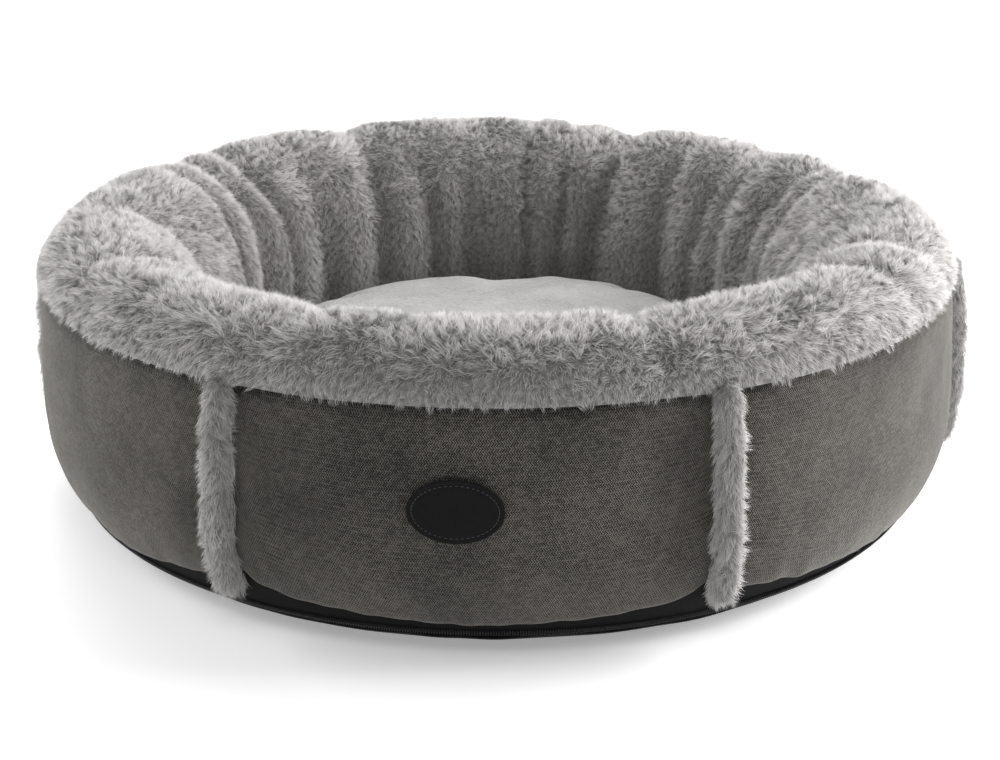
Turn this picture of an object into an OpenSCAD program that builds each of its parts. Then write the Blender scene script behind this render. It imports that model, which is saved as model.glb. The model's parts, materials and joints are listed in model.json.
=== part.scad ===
// Round pet bed: a fabric ring bolster lined with plush, a zip-off base and a loose cushion.
// Millimetres, +Z up. The origin is the centre of the base, on the floor. The front faces -Y.

/* [Bolster] */
// Diameter of the fabric wall at its widest
bed_d = 640; // [480:1:900]
// Height of the plush crest above the floor
bed_h = 205; // [170:1:280]
// Width of the bolster, from its widest point in to the nest wall
bolster_w = 127; // [105:1:170]
// Height of the widest point of the wall
belly_z = 79; // [65:1:95]
// How far the flat foot of the base lies inside the widest point
foot_inset = 67; // [50:1:80]
// Fullness of the lower wall between the foot and the widest point
foot_fullness = 0.9; // [0.8:0.05:1.1]
// How far the crest lies inside the widest point
crest_inset = 48; // [42:1:56]
// How far the plush seam leans in from the widest point
seam_lean = 6; // [0:1:12]
// How far the plush seam lies below the crest
seam_drop = 39; // [30:1:50]
// How far the nest wall's flare reaches below the crest
flare_h = 100; // [70:1:110]

/* [Cover] */
// Thickness of the wall and base fabric with its backing
cloth_t = 2; // [1:0.1:3]
// Thickness of the plush lining with its pile
plush_t = 10; // [6:0.5:14]
// Thickness of the fabric under the cushion
floor_t = 2; // [1:0.1:4]
// Angle taken by the front panel of the wall
front_panel_angle = 55; // [45:1:70]
// Height of the wall fabric's lower edge at the middle of a panel
edge_z = 24; // [23:1:28]
// How far that edge rises at the panel's ends
edge_rise = 12; // [6:1:18]

/* [Plush straps] */
// Width of each plush strap
strap_w = 24; // [16:1:32]
// Thickness of a strap with its pile
strap_t = 12; // [6:1:14]
// How far a strap starts above the wall fabric's lower edge
strap_start = 6; // [4:1:12]

/* [Zip] */
// Height of the base panel's turned-up edge
base_edge_z = 10.6; // [8:0.1:11.5]
// Height of the zip's coils above the floor
coil_z = 18; // [17:0.1:19]
// Diameter of one coil
coil_d = 2.4; // [1.6:0.1:2.6]
// Thickness of the zip tape
tape_t = 1; // [0.6:0.1:1.5]
// Height of the upper tape's sewn edge behind the wall
tape_top_z = 42; // [40:1:50]
// Height of the lower tape's sewn edge behind the base panel
tape_foot_z = 5; // [3:0.5:7]
// Angle at the back where the coils stop short of each other
coil_gap_angle = 10; // [6:1:20]
// Length of the slider
slider_l = 12; // [9:0.5:16]
// Thickness of the slider's top plate
slider_t = 1.6; // [1:0.1:2]
// Width of each of the slider's side walls
slider_wall = 1.75; // [1.2:0.05:2]
// Length of the pull beyond its pin
pull_l = 18; // [12:0.5:19]
// Diameter of the pull's pin and thickness of its plate
pull_t = 1.3; // [1:0.1:1.5]
// Width of the bridge that holds the pin
bridge_w = 2.6; // [2:0.1:3.4]
// Thickness of the bridge
bridge_t = 1; // [0.8:0.1:1.6]
// Length of each end stop
stop_l = 2.5; // [1.5:0.1:4]

/* [Label] */
// Width of the oval label
label_w = 56; // [40:1:80]
// Height of the oval label
label_h = 38; // [28:1:50]
// Thickness of the label
label_t = 1.6; // [1:0.1:3]
// Height of the label's centre above the floor
label_z = 106; // [104:1:118]
// Angle of the label's centre from the middle of the front panel, to the right
label_angle = -1.2; // [-8:0.1:8]
// Distance of the stitching from the label's edge
stitch_inset = 3; // [2:0.1:5]
// Width of the stitching line
stitch_w = 0.8; // [0.5:0.1:1.2]

/* [Cushion] */
// Thickness of the cushion at its crown
cushion_t = 93; // [70:1:98]
// Height of the cushion's seam as a share of its thickness
seam_share = 0.5; // [0.4:0.05:0.6]
// Thickness of the cushion's cover
cushion_cloth_t = 1.5; // [1:0.1:3]
// Width of the rounded foot of the cushion, outside its flat underside
cushion_foot = 42; // [20:1:60]

/* [Fits] */
// Play between the cushion's side and the nest wall
cushion_gap = 4.5; // [2:0.5:12]
// Play under the cushion
rest_gap = 0.5; // [0.3:0.1:2]
// Thickness of the bolster's inner bag
bag_t = 1; // [0.6:0.1:2]
// Play between the bag and the cover
bag_gap = 0.5; // [0.3:0.1:2]
// Play around the coils inside the slider, and around the pull's pin
slider_gap = 0.4; // [0.3:0.05:0.6]

/* [Hidden] */
$fn = 180;

bed_r = bed_d / 2;
foot_r = bed_r - foot_inset;
crest_r = bed_r - crest_inset;
nest_r = bed_r - bolster_w;
seam_z = bed_h - seam_drop;
flare_z = bed_h - flare_h;
floor_gap = 0.5;
floor_z = cloth_t + floor_gap;
floor_top = floor_z + floor_t;

panel_count = 6;
side_panel_angle = (360 - front_panel_angle) / (panel_count - 1);
strap_z = edge_z + strap_start;
coil_half = coil_d + 0.1;

// The cover's skin in section, as points [radius, height] from the foot, up the wall, over the
// crest and down into the nest. Each band runs from one seam or edge to the next, so the pieces
// on either side of it share its points.
function foot_angle(z) = acos(1 - z / belly_z);
function lower_wall(angle) =
    [foot_r + foot_inset * pow(sin(angle), foot_fullness), belly_z * (1 - cos(angle))];
function lower_band(z0, z1, steps) =
    [for (i = [1 : steps]) lower_wall(foot_angle(z0) + (foot_angle(z1) - foot_angle(z0)) * i / steps)];
function upper_wall(share) = [bed_r - seam_lean * share * share, belly_z + (seam_z - belly_z) * share];
function shoulder(angle) =
    [crest_r + (crest_inset - seam_lean) * cos(angle), seam_z + seam_drop * sin(angle)];
function flare(angle) =
    [crest_r - (crest_r - nest_r) * sin(angle), flare_z + flare_h * cos(angle)];

zip_point = lower_wall(foot_angle(coil_z));
zip_next = lower_wall(foot_angle(coil_z + 0.1));
// Lean of the zip's face out from the vertical
zip_lean = atan2(zip_next[0] - zip_point[0], zip_next[1] - zip_point[1]);
coil_low_z = coil_z - coil_half * cos(zip_lean);
coil_high_z = coil_z + coil_half * cos(zip_lean);

to_tape_foot = lower_band(0, tape_foot_z, 3);
to_base_edge = lower_band(tape_foot_z, base_edge_z, 2);
to_coil_low = lower_band(base_edge_z, coil_low_z, 2);
to_coil_high = lower_band(coil_low_z, coil_high_z, 2);
to_strap = lower_band(coil_high_z, strap_z, 3);
to_tape_top = lower_band(strap_z, tape_top_z, 2);
to_belly = lower_band(tape_top_z, belly_z, 6);
to_seam = [for (i = [1 : 6]) upper_wall(i / 6)];
to_crest = [for (i = [1 : 8]) shoulder(i * 90 / 8)];
to_nest = [for (i = [1 : 12]) flare(i * 90 / 12)];
skin = concat([[foot_r, 0]], to_tape_foot, to_base_edge, to_coil_low, to_coil_high, to_strap,
    to_tape_top, to_belly, to_seam, to_crest, to_nest, [[nest_r, floor_top]]);

at_tape_foot = len(to_tape_foot);
at_base_edge = at_tape_foot + len(to_base_edge);
at_coil_low = at_base_edge + len(to_coil_low);
at_coil_high = at_coil_low + len(to_coil_high);
at_strap = at_coil_high + len(to_strap);
at_tape_top = at_strap + len(to_tape_top);
at_belly = at_tape_top + len(to_belly);
at_seam = at_belly + len(to_seam);
at_end = len(skin) - 1;

// Outward direction at each point of a path that runs with the outside on its right
function outward(path, i) =
    let (step = path[min(i + 1, len(path) - 1)] - path[max(i - 1, 0)])
    [step[1], -step[0]] / norm(step);
// Points of a path from first to last, moved outwards by d
function moved(path, first, last, d) =
    [for (i = [first : last]) path[i] + d * outward(path, i)];
// Points of a path, none of them lower than a height
function kept_above(z, path) = [for (p = path) [p[0], max(p[1], z)]];
function backwards(path) = [for (i = [len(path) - 1 : -1 : 0]) path[i]];
// Outline of a layer between two depths under a path
function layer(path, first, last, top, bottom) =
    concat(moved(path, first, last, top), backwards(moved(path, first, last, bottom)));

// Outline of the bolster's filling, a given depth inside the bag's outer face
wall_depth = cloth_t + tape_t + bag_gap;
nest_depth = plush_t + bag_gap;
function stuffing(depth) = concat(
    kept_above(wall_depth + depth, moved(skin, 0, at_seam, -wall_depth - depth)),
    moved(skin, at_seam, at_end - 1, -nest_depth - depth),
    [[nest_r + nest_depth + depth, wall_depth + depth]]);

// Angles to the right of the front
function panel_start(i) =
    i == 0 ? -front_panel_angle / 2 : front_panel_angle / 2 + (i - 1) * side_panel_angle;
function panel_angle(i) = i == 0 ? front_panel_angle : side_panel_angle;

module turned_to(angle) {
    rotate([0, 0, -90 + angle])
        children();
}

// One panel of the wall fabric. Its lower edge is an arc that rises towards both ends.
module wall_panel(i) {
    angle = panel_angle(i);
    half_chord = bed_r * sin(angle / 2);
    arc_r = (half_chord * half_chord + edge_rise * edge_rise) / (2 * edge_rise);
    turned_to(panel_start(i) + angle / 2)
        intersection() {
            rotate([0, 0, -angle / 2])
                rotate_extrude(angle = angle)
                    polygon(layer(skin, at_coil_high, at_seam, 0, -cloth_t));
            translate([bed_r / 3, 0, edge_z + arc_r])
                rotate([0, 90, 0])
                    cylinder(r = arc_r, h = bed_r);
        }
}

module wall_panel_front() color("#55534f") wall_panel(0);
module wall_panel_front_right() color("#5a5853") wall_panel(1);
module wall_panel_back_right() color("#55534f") wall_panel(2);
module wall_panel_back() color("#5a5853") wall_panel(3);
module wall_panel_back_left() color("#55534f") wall_panel(4);
module wall_panel_front_left() color("#5a5853") wall_panel(5);

// A plush strap sewn over the seam between two panels, with rounded long edges
module plush_strap(i) {
    half_angle = strap_w / 2 / bed_r * 180 / PI;
    shoulder_angle = half_angle * 0.3;
    turned_to(panel_start(i)) {
        rotate([0, 0, -half_angle])
            rotate_extrude(angle = 2 * half_angle)
                polygon(layer(skin, at_strap, at_seam, strap_t * 0.6, 0));
        rotate([0, 0, shoulder_angle - half_angle])
            rotate_extrude(angle = 2 * (half_angle - shoulder_angle))
                polygon(layer(skin, at_strap, at_seam, strap_t, strap_t * 0.6));
    }
}

module plush_strap_front_right() color("#a8a5a1") plush_strap(1);
module plush_strap_right() color("#a8a5a1") plush_strap(2);
module plush_strap_back_right() color("#a8a5a1") plush_strap(3);
module plush_strap_back_left() color("#a8a5a1") plush_strap(4);
module plush_strap_left() color("#a8a5a1") plush_strap(5);
module plush_strap_front_left() color("#a8a5a1") plush_strap(6);

// Plush strip from the wall's seam over the crest and down to the nest floor
module plush_lining() {
    color("#aeaba8")
        rotate_extrude()
            polygon(layer(skin, at_seam, at_end, 0, -plush_t));
}

module floor_liner() {
    color("#2b2b2b")
        translate([0, 0, floor_z])
            cylinder(r = nest_r + plush_t, h = floor_t);
}

// Thin inner bag around the filling
module bolster_bag() {
    color("#e6e6e6")
        difference() {
            rotate_extrude()
                polygon(stuffing(0));
            rotate_extrude()
                polygon(stuffing(bag_t));
        }
}

module bolster_fill() {
    color("#fafafa")
        rotate_extrude()
            polygon(stuffing(bag_t));
}

// Flat disc of the base with its edge turned up to the zip
module base_panel() {
    color("#1a1a1b")
        rotate_extrude()
            polygon(concat([[0, 0]], moved(skin, 0, at_base_edge, 0),
                backwards(kept_above(cloth_t, moved(skin, 0, at_base_edge, -cloth_t))),
                [[0, cloth_t]]));
}

// The tapes lie behind the wall and the base panel, and their edges meet under the coils.
module zip_tape_upper() {
    color("#202021")
        rotate_extrude()
            polygon(layer(skin, at_coil_low + 1, at_tape_top, -cloth_t, -cloth_t - tape_t));
}

module zip_tape_lower() {
    color("#202021")
        rotate_extrude()
            polygon(layer(skin, at_tape_foot, at_coil_low + 1, -cloth_t, -cloth_t - tape_t));
}

// Places its children at the zip's middle, with X out from the face, Y along the zip and Z across it
module on_zip(angle) {
    turned_to(180 + angle)
        translate([zip_point[0], 0, zip_point[1]])
            rotate([0, zip_lean, 0])
                children();
}

// A coil lies on the tape's face, just clear of the other coil
module zip_coil(side) {
    depth = cloth_t - coil_d / 2;
    along = side * (coil_d / 2 + 0.05);
    r = zip_point[0] - depth * cos(zip_lean) + along * sin(zip_lean);
    z = zip_point[1] + depth * sin(zip_lean) + along * cos(zip_lean);
    turned_to(180 + coil_gap_angle / 2)
        rotate_extrude(angle = 360 - coil_gap_angle)
            translate([r, z])
                circle(d = coil_d, $fn = 24);
}

module zip_coil_upper() color("#101011") zip_coil(1);
module zip_coil_lower() color("#101011") zip_coil(-1);

arc_degree = zip_point[0] * PI / 180;
stop_angle = coil_gap_angle / 2 - (stop_l / 2 + 0.1) / arc_degree;
coil_top = coil_d - cloth_t;

// Metal clamps at the two ends of the coils
module zip_stops() {
    color("#8b8b8d")
        for (side = [-1, 1])
            on_zip(side * stop_angle)
                translate([-cloth_t + 0.3, -stop_l / 2, -coil_d])
                    cube([coil_d + 0.4, stop_l, 2 * coil_d]);
}

slider_angle = coil_gap_angle / 2 + (slider_l / 2 + slider_gap) / arc_degree;
plate_low = coil_top + slider_gap;
plate_high = plate_low + slider_t;
channel_half = coil_half + slider_gap;
slider_half = channel_half + slider_wall;
flange_low = -cloth_t + 0.8;
pin_x = plate_high + slider_gap + pull_t / 2;
bridge_half = slider_l * 0.3;
bridge_low = pin_x + pull_t / 2 + slider_gap;
arm_w = 1.2;
arm_half = bridge_w / 2 + slider_gap + arm_w;
plate_start = norm([bridge_half, bridge_low + bridge_t - pin_x]) + 2 * slider_gap;

// Slider: a channel over the coils, with a bridge on top that holds the pull's pin
module zip_slider() {
    color("#27272a")
        on_zip(slider_angle) {
            translate([plate_low, -slider_l / 2, -slider_half])
                cube([slider_t, slider_l, 2 * slider_half]);
            for (side = [-1, 1])
                translate([flange_low, -slider_l / 2, side > 0 ? channel_half : -slider_half])
                    cube([plate_low - flange_low, slider_l, slider_wall]);
            for (side = [-1, 1])
                translate([plate_high, side > 0 ? bridge_half - bridge_t : -bridge_half, -bridge_w / 2])
                    cube([bridge_low - plate_high, bridge_t, bridge_w]);
            translate([bridge_low, -bridge_half, -bridge_w / 2])
                cube([bridge_t, 2 * bridge_half, bridge_w]);
        }
}

// Pull: a pin under the bridge, an arm on each side of it, and a flat tab
module zip_pull() {
    color("#27272a")
        on_zip(slider_angle)
            translate([pin_x, 0, 0]) {
                translate([0, 0, -arm_half])
                    cylinder(d = pull_t, h = 2 * arm_half, $fn = 32);
                for (side = [-1, 1])
                    translate([-pull_t / 2, 0, side > 0 ? arm_half - arm_w : -arm_half])
                        cube([pull_t, plate_start, arm_w]);
                translate([-pull_t / 2, plate_start, -arm_half])
                    cube([pull_t, pull_l - plate_start, 2 * arm_half]);
            }
}

// Oval of the label, less an inset all round
label_points = 64;
function oval(inset) = [for (i = [0 : label_points - 1])
    [(label_h / 2 - inset) * cos(i * 360 / label_points),
     (label_w / 2 - inset) * sin(i * 360 / label_points)]];
label_sector = 2 * asin(label_w / bed_r);

// A piece of the wall's own curve, raised between two heights above the fabric
module raised_band(bottom, top) {
    rotate([0, 0, -label_sector / 2])
        rotate_extrude(angle = label_sector)
            polygon(layer(skin, at_belly, at_seam, top, bottom));
}

module label_patch() {
    color("#151516")
        turned_to(label_angle)
            intersection() {
                raised_band(0, label_t);
                translate([bed_r / 2, 0, label_z])
                    rotate([0, 90, 0])
                        linear_extrude(height = bed_r)
                            polygon(oval(0));
            }
}

module label_stitching() {
    color("#4a4a4c")
        turned_to(label_angle)
            intersection() {
                raised_band(label_t, label_t + 0.3);
                translate([bed_r / 2, 0, label_z])
                    rotate([0, 90, 0])
                        linear_extrude(height = bed_r)
                            difference() {
                                polygon(oval(stitch_inset));
                                polygon(oval(stitch_inset + stitch_w));
                            }
            }
}

// The cushion's section: a crowned top and a flat underside with a rounded foot, meeting at a seam
cushion_r = nest_r - cushion_gap;
cushion_z = floor_top + rest_gap;
cushion_seam_z = cushion_z + cushion_t * seam_share;
cushion_crown = cushion_t * (1 - seam_share);
cushion_top = [for (i = [0 : 14]) let (angle = 90 - i * 90 / 14)
    [cushion_r * pow(sin(angle), 0.8), cushion_seam_z + cushion_crown * cos(angle)]];
cushion_under = concat([[0, cushion_z]], [for (i = [0 : 8]) let (angle = i * 90 / 8)
    [cushion_r - cushion_foot + cushion_foot * sin(angle),
     cushion_seam_z - cushion_t * seam_share * cos(angle)]]);
function inner_top() = [for (p = moved(cushion_top, 0, 14, -cushion_cloth_t))
    [max(p[0], 0), max(p[1], cushion_seam_z)]];
function inner_under() = [for (p = moved(cushion_under, 0, 9, -cushion_cloth_t))
    [max(p[0], 0), min(p[1], cushion_seam_z)]];

module cushion_cover_top() {
    color("#aaa8a5")
        rotate_extrude()
            polygon(concat(cushion_top, backwards(inner_top())));
}

module cushion_cover_bottom() {
    color("#8f8d8a")
        rotate_extrude()
            polygon(concat(cushion_under, backwards(inner_under())));
}

module cushion_fill() {
    color("#fafafa")
        rotate_extrude()
            polygon(concat(inner_under(), inner_top()));
}

wall_panel_front();
wall_panel_front_right();
wall_panel_back_right();
wall_panel_back();
wall_panel_back_left();
wall_panel_front_left();
plush_strap_front_right();
plush_strap_right();
plush_strap_back_right();
plush_strap_back_left();
plush_strap_left();
plush_strap_front_left();
plush_lining();
floor_liner();
bolster_bag();
bolster_fill();
base_panel();
zip_tape_upper();
zip_tape_lower();
zip_coil_upper();
zip_coil_lower();
zip_stops();
zip_slider();
zip_pull();
label_patch();
label_stitching();
cushion_cover_top();
cushion_cover_bottom();
cushion_fill();
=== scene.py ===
import json
import math
import random

import bpy
from mathutils import Matrix, Vector, noise

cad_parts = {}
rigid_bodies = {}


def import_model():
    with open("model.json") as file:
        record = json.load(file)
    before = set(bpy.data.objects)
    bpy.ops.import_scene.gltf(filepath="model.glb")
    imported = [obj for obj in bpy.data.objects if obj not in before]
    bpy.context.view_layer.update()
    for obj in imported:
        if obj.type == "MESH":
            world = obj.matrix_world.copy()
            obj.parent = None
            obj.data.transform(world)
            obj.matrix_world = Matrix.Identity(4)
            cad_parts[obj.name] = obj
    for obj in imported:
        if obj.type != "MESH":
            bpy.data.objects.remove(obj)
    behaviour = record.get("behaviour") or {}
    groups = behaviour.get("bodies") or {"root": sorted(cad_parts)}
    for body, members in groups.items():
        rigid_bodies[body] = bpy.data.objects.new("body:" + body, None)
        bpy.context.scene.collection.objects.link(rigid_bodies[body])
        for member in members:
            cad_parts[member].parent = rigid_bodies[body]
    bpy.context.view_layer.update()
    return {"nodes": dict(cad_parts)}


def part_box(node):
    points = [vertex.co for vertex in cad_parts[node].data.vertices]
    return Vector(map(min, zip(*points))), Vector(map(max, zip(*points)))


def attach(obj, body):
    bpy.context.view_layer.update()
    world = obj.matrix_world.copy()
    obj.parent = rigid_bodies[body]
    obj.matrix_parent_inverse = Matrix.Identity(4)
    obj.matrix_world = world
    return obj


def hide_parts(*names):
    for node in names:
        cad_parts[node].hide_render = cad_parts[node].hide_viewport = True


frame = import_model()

# Studio. A pale sweep of floor, a large soft light overhead, a strong one from the right, a
# weaker one from the left, and a camera a little above the rim and a little to the right.
MM = 0.001
VIEW_TURN = math.radians(3)
VIEW_DISTANCE, VIEW_HEIGHT = 1.3, 0.535
VIEW_PITCH = math.radians(19.66)
LENS, LENS_SHIFT = 68.54, 0.0028
FLOOR_SIZE, FLOOR_BACK, FLOOR_GLOW = 14, 3, 0.32
ROOM_GLOW = 0.17

bpy.ops.object.select_all(action="DESELECT")
bpy.ops.object.camera_add(
    location=(VIEW_DISTANCE * math.sin(VIEW_TURN), -VIEW_DISTANCE * math.cos(VIEW_TURN), VIEW_HEIGHT),
    rotation=(math.pi / 2 - VIEW_PITCH, 0, VIEW_TURN))
camera = bpy.context.object
camera.data.lens = LENS
camera.data.shift_x = LENS_SHIFT
bpy.context.scene.camera = camera
bpy.context.scene.view_settings.view_transform = "Standard"


def soft_light(name, place, target, size, watts):
    bpy.ops.object.light_add(type="AREA", location=place)
    lamp = bpy.context.object
    lamp.name = name
    lamp.data.shape = "RECTANGLE"
    lamp.data.size, lamp.data.size_y = size
    lamp.data.energy = watts
    lamp.rotation_euler = (Vector(target) - Vector(place)).to_track_quat("-Z", "Y").to_euler()


soft_light("light_top", (0, 0.95, 1.85), (0, 0.05, 0.1), (1.8, 1.4), 29)
soft_light("light_right", (1.7, 0.1, 0.75), (0, 0.05, 0.1), (1.0, 1.0), 51)
soft_light("light_left", (-1.7, 0.1, 0.75), (0, 0.05, 0.1), (1.0, 1.0), 21)
soft_light("light_front", (-0.2, -1.7, 1.8), (0, 0, 0.1), (1.6, 0.8), 11)
soft_light("light_backdrop", (0, 4.2, 2.6), (0, 4.0, 0), (6.0, 3.0), 150)

world = bpy.data.worlds.new("studio")
bpy.context.scene.world = world
world.use_nodes = True
room = world.node_tree.nodes["Background"].inputs
room["Color"].default_value = (1, 1, 1, 1)
room["Strength"].default_value = ROOM_GLOW


class Shade:
    """A value in a material's nodes. Sums written with it add the Math nodes they need."""

    def __init__(self, tree, socket=None):
        self.tree, self.socket = tree, socket

    def node(self, kind, settings=None, sockets=None, out=0):
        made = self.tree.nodes.new("ShaderNode" + kind)
        for name, value in (settings or {}).items():
            if name == "stops":
                ramp = made.color_ramp.elements
                while len(ramp) < len(value):
                    ramp.new(0.5)
                for stop, (place, colour) in zip(ramp, value):
                    stop.position, stop.color = place, (*colour, 1)
            else:
                setattr(made, name, value)
        for name, value in (sockets or {}).items():
            if isinstance(value, Shade):
                self.tree.links.new(value.socket, made.inputs[name])
            else:
                made.inputs[name].default_value = value
        return Shade(self.tree, made.outputs[out])

    def math(self, operation, *values):
        return self.node("Math", {"operation": operation}, dict(enumerate(values)))

    def __add__(self, other):
        return self.math("ADD", self, other)

    def __radd__(self, other):
        return self.math("ADD", other, self)

    def __sub__(self, other):
        return self.math("SUBTRACT", self, other)

    def __rsub__(self, other):
        return self.math("SUBTRACT", other, self)

    def __mul__(self, other):
        return self.math("MULTIPLY", self, other)

    def __rmul__(self, other):
        return self.math("MULTIPLY", other, self)

    def between(self, low, high):
        """0 below low and 1 above high, with a soft start and end."""
        return self.node("MapRange", {"interpolation_type": "SMOOTHSTEP"},
                         {"Value": self, "From Min": low, "From Max": high})

    def mix(self, first, second):
        """The first colour where this value is 0 and the second where it is 1."""
        picks = {0: self}
        for place, colour in ((6, first), (7, second)):
            picks[place] = colour if isinstance(colour, Shade) else (*colour, 1)
        return self.node("Mix", {"data_type": "RGBA"}, picks, out=2)


def material(name, roughness, **fixed):
    """A new material, its shader, and a start for the sums that feed it."""
    made = bpy.data.materials.new(name)
    made.use_nodes = True
    tree = made.node_tree
    shader = tree.nodes["Principled BSDF"]
    shader.inputs["Roughness"].default_value = roughness
    for socket, value in fixed.items():
        shader.inputs[socket.replace("_", " ")].default_value = value
    return made, shader, Shade(tree)


def dress(piece, finish):
    piece.data.materials.clear()
    piece.data.materials.append(finish)


bpy.ops.mesh.primitive_plane_add(size=FLOOR_SIZE, location=(0, FLOOR_BACK, 0))
floor = bpy.context.object
floor.name = "studio_floor"
floor_paint, floor_shader, _ = material("floor_paint", 0.7)
floor_shader.inputs["Base Color"].default_value = (0.93, 0.93, 0.93, 1)
floor_shader.inputs["Emission Color"].default_value = (1, 1, 1, 1)
floor_shader.inputs["Emission Strength"].default_value = FLOOR_GLOW
dress(floor, floor_paint)


# The bed's form. Everything is laid on one section: a flat foot, a full lower wall, an upper wall
# that leans in to the plush seam, a round shoulder, and a flare down into the nest.
PLUSH = 10 * MM
WALL_STEPS, TURN_STEPS = 30, 40
BELLY_Z, FOOT_INSET, FULLNESS = 79 * MM, 67 * MM, 0.9
CREST_INSET, FLARE_DROP = 48 * MM, 100 * MM
bed_r = -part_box("wall_panel_front")[0].y
crest_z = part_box("plush_lining")[1].z
seam_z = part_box("wall_panel_front")[1].z
seam_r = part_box("plush_lining")[1].x
nest_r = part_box("floor_liner")[1].x - PLUSH
floor_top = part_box("floor_liner")[1].z
foot_r = bed_r - FOOT_INSET
crest_r = bed_r - CREST_INSET


def section_line():
    """Points of the section from the foot's edge to the nest floor, a few millimetres apart."""
    quarter = [math.pi / 2 * i / TURN_STEPS for i in range(TURN_STEPS + 1)]
    steps = range(1, WALL_STEPS + 1)
    line = [(foot_r + FOOT_INSET * math.sin(a) ** FULLNESS, BELLY_Z * (1 - math.cos(a))) for a in quarter]
    line += [(bed_r - (bed_r - seam_r) * (i / WALL_STEPS) ** 2, BELLY_Z + (seam_z - BELLY_Z) * i / WALL_STEPS)
             for i in steps]
    line += [(crest_r + (seam_r - crest_r) * math.cos(a), seam_z + (crest_z - seam_z) * math.sin(a))
             for a in quarter[1:]]
    line += [(crest_r - (crest_r - nest_r) * math.sin(a), crest_z - FLARE_DROP * (1 - math.cos(a)))
             for a in quarter[1:]]
    flare_z = crest_z - FLARE_DROP
    line += [(nest_r, flare_z + (floor_top - flare_z) * i / WALL_STEPS) for i in steps]
    return line


section = [Vector((r, z)) for r, z in section_line()]
reach = [0.0]
for first, second in zip(section, section[1:]):
    reach.append(reach[-1] + (second - first).length)


def reach_at(z):
    """How far along the section the outer wall reaches a height."""
    for i in range(1, len(section)):
        low, high = sorted((section[i - 1].y, section[i].y))
        if low <= z <= high and high > low:
            share = (z - section[i - 1].y) / (section[i].y - section[i - 1].y)
            return reach[i - 1] + share * (reach[i] - reach[i - 1])
    return reach[-1]


def on_section(s):
    """The section's point and outward direction at a distance along it."""
    s = min(max(s, 0), reach[-1] - 1e-6)
    low, high = 0, len(reach) - 1
    while high - low > 1:
        middle = (low + high) // 2
        low, high = (middle, high) if reach[middle] <= s else (low, middle)
    share = (s - reach[low]) / (reach[high] - reach[low])
    point = section[low].lerp(section[high], share)
    before, after = section[max(low - 2, 0)], section[min(high + 2, len(section) - 1)]
    step = (after - before).normalized()
    return point, Vector((step.y, -step.x))


def on_bed(turn, s, raised=0.0):
    """The place at an angle to the right of the front, a distance along the section and above it."""
    point, out = on_section(s)
    r, z = point.x + raised * out.x, point.y + raised * out.y
    return Vector((r * math.sin(turn), -r * math.cos(turn), z))


s_seam = reach_at(seam_z)
s_crest = reach[TURN_STEPS + WALL_STEPS + TURN_STEPS]
s_end = reach[-1]


# Plush lining. One long strip of knitted plush, sewn to the wall below the rim, drawn over the
# bolster and gathered into the nest, with its two ends joined at the back.
BACK_SEAM = math.radians(176.5)
PILE = 5 * MM
OVERHANG = 4.5 * MM
LOWER_FOLDS = 32
DEEPEST_FOLD = 19 * MM
FOLD_ROOM = math.radians(4.5)
fold_random = random.Random(11)
# Angle, depth and width of the folds that stand out most
folds = [(math.radians(a), d * MM, math.radians(w)) for a, d, w in (
    (160, 19, 3.0), (129.5, 18, 3.2), (119, 13, 2.8), (168, 10, 2.2), (190.5, 11, 2.4), (198, 12, 2.6),
    (210, 14, 2.8), (225, 18, 3.2), (243, 18, 3.0), (176.5, 8, 1.2))]
for i in range(LOWER_FOLDS):
    turn = math.radians(360 * (i + fold_random.uniform(-0.45, 0.45)) / LOWER_FOLDS)
    if all(abs(math.remainder(turn - other[0], math.tau)) > FOLD_ROOM for other in folds):
        folds.append((turn, fold_random.uniform(2, 13) * MM, math.radians(fold_random.uniform(1.2, 2.8))))
fold_starts = [fold_random.uniform(-0.3, 0.4) for fold in folds]


def colour_of(shader, value):
    shader.id_data.links.new(value.socket, shader.inputs["Base Color"])


def bump_of(shader, height, distance, strength=1.0):
    start = Shade(shader.id_data)
    raised = start.node("Bump", {}, {"Height": height, "Distance": distance, "Strength": strength})
    shader.id_data.links.new(raised.socket, shader.inputs["Normal"])


def noise_of(start, place, scale, detail=2.0, roughness=0.5):
    return start.node("TexNoise", {}, {"Vector": place, "Scale": scale, "Detail": detail,
                                       "Roughness": roughness})


def only(piece):
    """Selects one piece and nothing else."""
    bpy.ops.object.select_all(action="DESELECT")
    piece.select_set(True)
    bpy.context.view_layer.objects.active = piece


def edit(piece, *steps):
    """Runs edit-mode steps on a whole piece."""
    only(piece)
    bpy.ops.object.mode_set(mode="EDIT")
    bpy.ops.mesh.select_all(action="SELECT")
    for step in steps:
        step()
    bpy.ops.object.mode_set(mode="OBJECT")


def keep_modifier(piece, kind, **settings):
    """Adds a modifier, sets it and applies it."""
    only(piece)
    changed = piece.modifiers.new(kind.lower(), kind)
    for name, value in settings.items():
        setattr(changed, name, value)
    bpy.ops.object.modifier_apply(modifier=changed.name)


def smooth(piece):
    for face in piece.data.polygons:
        face.use_smooth = True


def object_coords(start):
    return start.node("TexCoord", out=3)


def cut_cloth(name, width, length, across, along):
    """A flat cut of cloth, with its own measure in metres as its UV map."""
    bpy.ops.object.select_all(action="DESELECT")
    bpy.ops.mesh.primitive_grid_add(x_subdivisions=across, y_subdivisions=along, size=1)
    cloth = bpy.context.object
    cloth.name = name
    cloth.data.name = name
    measure = cloth.data.uv_layers.active
    measure.name = "cloth"
    for corner in measure.data:
        corner.uv = (corner.uv[0] * width, corner.uv[1] * length)
    return cloth


def lay(cloth, place):
    """Moves each point of a flat cut to its place on the bed, given its shares across and along."""
    for point in cloth.data.vertices:
        point.co = place(point.co.x + 0.5, point.co.y + 0.5)
    cloth.data.update()


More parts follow.
